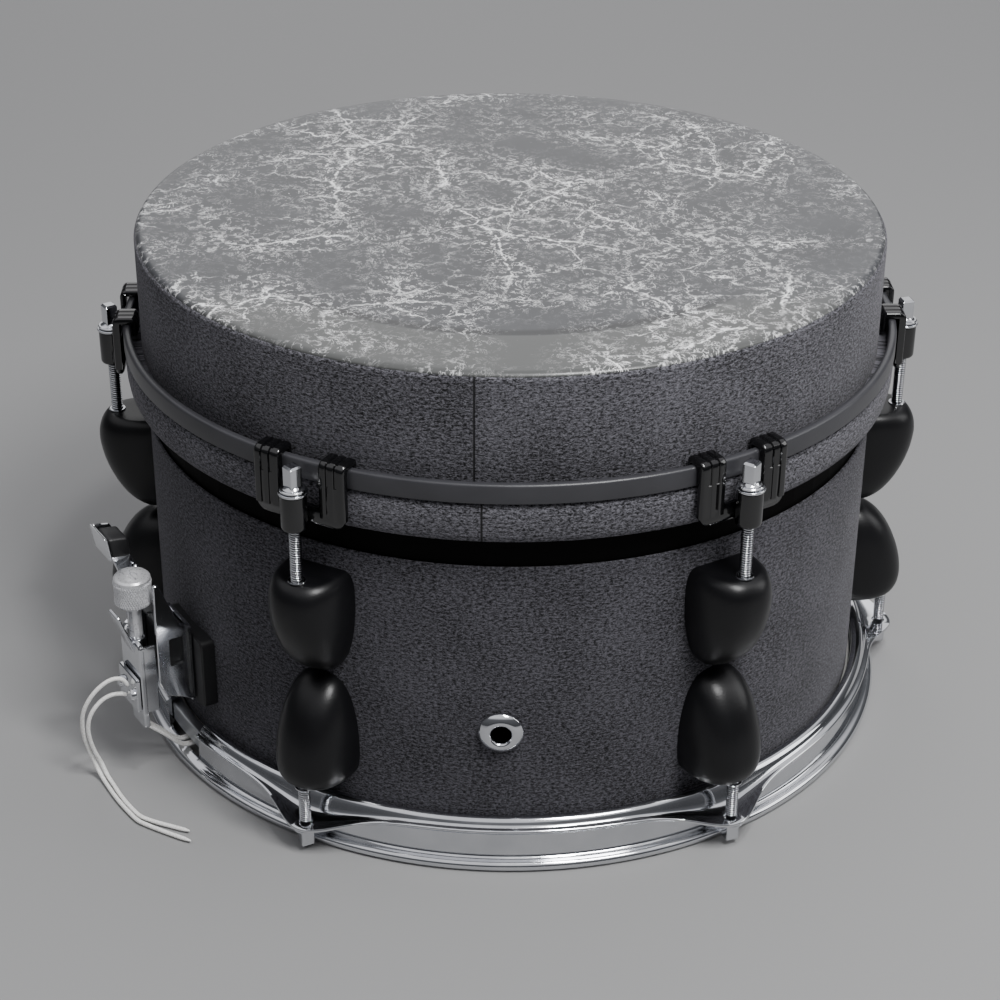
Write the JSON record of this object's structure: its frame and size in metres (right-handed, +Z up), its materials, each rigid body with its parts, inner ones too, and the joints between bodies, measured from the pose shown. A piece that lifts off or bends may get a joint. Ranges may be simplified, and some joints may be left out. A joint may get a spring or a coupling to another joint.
{
  "type": "snare drum",
  "caption": "Felt-wrapped snare drum with a marbled film head on a tall collar, claw-hooked tension rods, an eared chrome bottom hoop and a lever throw-off with snare cords.",
  "frame": {"origin": "on the drum's axis, on the plane the bottom hoop stands on", "axes": "+Z up along the drum's axis; +X and -X through two opposite lugs; the throw-off is at 210 degrees from +X, seen from above"},
  "size_m": [0.41, 0.3812, 0.2446],
  "materials": {
    "film": "marbled dark grey, satin",
    "felt": "charcoal felt",
    "black_satin": "satin black",
    "gloss_black": "gloss black",
    "chrome": "polished",
    "steel": "bright",
    "ply": "black stain",
    "grip": "moulded black",
    "clear_film": "clear film",
    "cord": "white braid"
  },
  "bodies": {
    "drum": {"shell": "ply", "shell_felt": "felt", "head_film": "film", "damping_ring": "film", "head_collar": "felt", "flesh_hoop": "felt", "counter_hoop": "black_satin", "claw_1": "gloss_black", "rod_washer_1": "chrome", "upper_lug_1": "black_satin", "lower_lug_1": "black_satin", "claw_2": "gloss_black", "rod_washer_2": "chrome", "upper_lug_2": "black_satin", "lower_lug_2": "black_satin", "claw_3": "gloss_black", "rod_washer_3": "chrome", "upper_lug_3": "black_satin", "lower_lug_3": "black_satin", "claw_4": "gloss_black", "rod_washer_4": "chrome", "upper_lug_4": "black_satin", "lower_lug_4": "black_satin", "claw_5": "gloss_black", "rod_washer_5": "chrome", "upper_lug_5": "black_satin", "lower_lug_5": "black_satin", "claw_6": "gloss_black", "rod_washer_6": "chrome", "upper_lug_6": "black_satin", "lower_lug_6": "black_satin", "bottom_hoop": "chrome", "bottom_head": "clear_film", "bottom_flesh_hoop": "steel", "vent_eyelet": "chrome", "throw_off_mount": "black_satin", "throw_off_housing": "chrome", "snare_wires": "steel", "butt_plate": "chrome", "butt_cord": "cord", "snare_cord": "cord", "snare_cord_a": "cord", "snare_cord_b": "cord"},
    "throw_lever": {"throw_off_lever": "chrome", "lever_grip": "grip"},
    "throw_slide": {"slide_block": "chrome", "cord_clamp": "chrome"},
    "knob": {"tension_knob": "chrome"},
    "top_rod_1": {"upper_rod_1": "chrome"},
    "bottom_rod_1": {"lower_rod_1": "chrome"},
    "top_rod_2": {"upper_rod_2": "chrome"},
    "bottom_rod_2": {"lower_rod_2": "chrome"},
    "top_rod_3": {"upper_rod_3": "chrome"},
    "bottom_rod_3": {"lower_rod_3": "chrome"},
    "top_rod_4": {"upper_rod_4": "chrome"},
    "bottom_rod_4": {"lower_rod_4": "chrome"},
    "top_rod_5": {"upper_rod_5": "chrome"},
    "bottom_rod_5": {"lower_rod_5": "chrome"},
    "top_rod_6": {"upper_rod_6": "chrome"},
    "bottom_rod_6": {"lower_rod_6": "chrome"}
  },
  "joints": [
    {"name": "lever_pivot", "type": "hinge", "parent": "drum", "child": "throw_lever", "pos_m": [-0.17061, -0.0985, 0.062], "axis": [0.5, -0.866, 0], "range_deg": [0, 95]},
    {"name": "slide_drop", "type": "slide", "parent": "drum", "child": "throw_slide", "axis": [0, 0, -1], "range_m": [0, 0.006], "deforming": ["snare_cord"]},
    {"name": "knob_screw", "type": "hinge", "parent": "throw_slide", "child": "knob", "pos_m": [-0.17805, -0.1028, 0.099], "axis": [0, 0, 1], "continuous": true},
    {"name": "top_rod_turn_1", "type": "hinge", "parent": "drum", "child": "top_rod_1", "pos_m": [0.194, 0, 0.187], "axis": [0, 0, 1], "continuous": true},
    {"name": "top_rod_turn_2", "type": "hinge", "parent": "drum", "child": "top_rod_2", "pos_m": [0.097, 0.16801, 0.187], "axis": [0, 0, 1], "continuous": true},
    {"name": "top_rod_turn_3", "type": "hinge", "parent": "drum", "child": "top_rod_3", "pos_m": [-0.097, 0.16801, 0.187], "axis": [0, 0, 1], "continuous": true},
    {"name": "top_rod_turn_4", "type": "hinge", "parent": "drum", "child": "top_rod_4", "pos_m": [-0.194, 0, 0.187], "axis": [0, 0, 1], "continuous": true},
    {"name": "top_rod_turn_5", "type": "hinge", "parent": "drum", "child": "top_rod_5", "pos_m": [-0.097, -0.16801, 0.187], "axis": [0, 0, 1], "continuous": true},
    {"name": "top_rod_turn_6", "type": "hinge", "parent": "drum", "child": "top_rod_6", "pos_m": [0.097, -0.16801, 0.187], "axis": [0, 0, 1], "continuous": true},
    {"name": "bottom_rod_turn_1", "type": "hinge", "parent": "drum", "child": "bottom_rod_1", "pos_m": [0.1956, 0, 0.012], "axis": [0, 0, 1], "continuous": true},
    {"name": "bottom_rod_turn_2", "type": "hinge", "parent": "drum", "child": "bottom_rod_2", "pos_m": [0.0978, 0.16939, 0.012], "axis": [0, 0, 1], "continuous": true},
    {"name": "bottom_rod_turn_3", "type": "hinge", "parent": "drum", "child": "bottom_rod_3", "pos_m": [-0.0978, 0.16939, 0.012], "axis": [0, 0, 1], "continuous": true},
    {"name": "bottom_rod_turn_4", "type": "hinge", "parent": "drum", "child": "bottom_rod_4", "pos_m": [-0.1956, 0, 0.012], "axis": [0, 0, 1], "continuous": true},
    {"name": "bottom_rod_turn_5", "type": "hinge", "parent": "drum", "child": "bottom_rod_5", "pos_m": [-0.0978, -0.16939, 0.012], "axis": [0, 0, 1], "continuous": true},
    {"name": "bottom_rod_turn_6", "type": "hinge", "parent": "drum", "child": "bottom_rod_6", "pos_m": [0.0978, -0.16939, 0.012], "axis": [0, 0, 1], "continuous": true}
  ],
  "couplings": [
    {"joint": "slide_drop", "follows": "lever_pivot", "m_per_rad": 0.0036}
  ]
}
